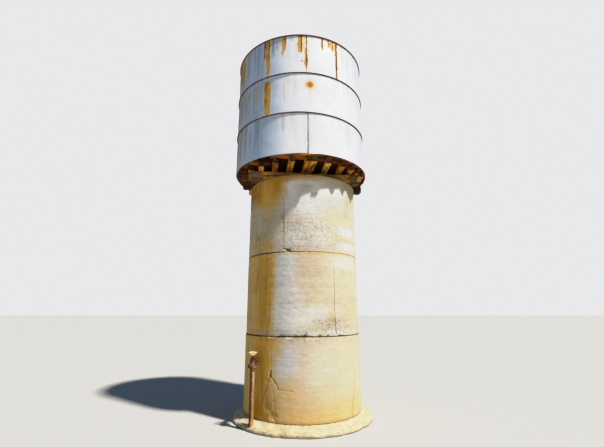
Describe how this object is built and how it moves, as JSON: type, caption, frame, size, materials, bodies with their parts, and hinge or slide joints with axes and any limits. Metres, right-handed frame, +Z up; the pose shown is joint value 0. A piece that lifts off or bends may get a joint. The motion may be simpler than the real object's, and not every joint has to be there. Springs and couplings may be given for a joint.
{
  "type": "water tower",
  "caption": "Small water tower: a round sheet-steel tank on a timber platform over a concrete shaft, with a standpipe and valve at its foot.",
  "frame": {"origin": "centre of the footing's round underside, on the axis of the concrete shaft", "axes": "+Z up; -Y towards the viewer of the picture, the side that the standpipe stands on; +X to the right"},
  "size_m": [3.1222, 3.1138, 8.2923],
  "materials": {
    "footing_concrete": "matte",
    "shaft_concrete": "matte",
    "timber": "matte",
    "tank_steel": "satin",
    "hoop_steel": "matte",
    "pipe_steel": "matte",
    "valve_iron": "matte",
    "wheel_paint": "satin"
  },
  "bodies": {
    "tower": {"footing": "footing_concrete", "lower_lift": "shaft_concrete", "middle_lift": "shaft_concrete", "upper_lift": "shaft_concrete", "front_beam": "timber", "middle_beam": "timber", "rear_beam": "timber", "joist_1": "timber", "joist_2": "timber", "joist_3": "timber", "joist_4": "timber", "joist_5": "timber", "joist_6": "timber", "joist_7": "timber", "joist_8": "timber", "joist_9": "timber", "joist_10": "timber", "joist_11": "timber", "deck_plank_left_1": "timber", "deck_plank_left_2": "timber", "deck_plank_left_3": "timber", "deck_plank_left_4": "timber", "deck_plank_left_5": "timber", "deck_plank_left_6": "timber", "deck_plank_right_1": "timber", "deck_plank_right_2": "timber", "deck_plank_right_3": "timber", "deck_plank_right_4": "timber", "deck_plank_right_5": "timber", "deck_plank_right_6": "timber", "deck_plank_rear_1": "timber", "deck_plank_rear_2": "timber", "deck_plank_rear_3": "timber", "deck_plank_rear_4": "timber", "deck_plank_rear_5": "timber", "tank_floor": "tank_steel", "bottom_sheet_1": "tank_steel", "bottom_sheet_2": "tank_steel", "bottom_sheet_3": "tank_steel", "middle_sheet_1": "tank_steel", "middle_sheet_2": "tank_steel", "middle_sheet_3": "tank_steel", "top_sheet_1": "tank_steel", "top_sheet_2": "tank_steel", "top_sheet_3": "tank_steel", "lower_hoop": "hoop_steel", "upper_hoop": "hoop_steel", "rim_angle": "hoop_steel", "tank_roof": "tank_steel", "riser_pipe": "pipe_steel", "valve_body": "valve_iron", "branch_pipe": "pipe_steel"},
    "valve_wheel": {"handwheel": "wheel_paint"}
  },
  "joints": [
    {"name": "handwheel_turn", "type": "hinge", "parent": "tower", "child": "valve_wheel", "pos_m": [-0.935, -1.045, 1.345], "axis": [0, 0, 1], "range_deg": [0, 1710]}
  ]
}
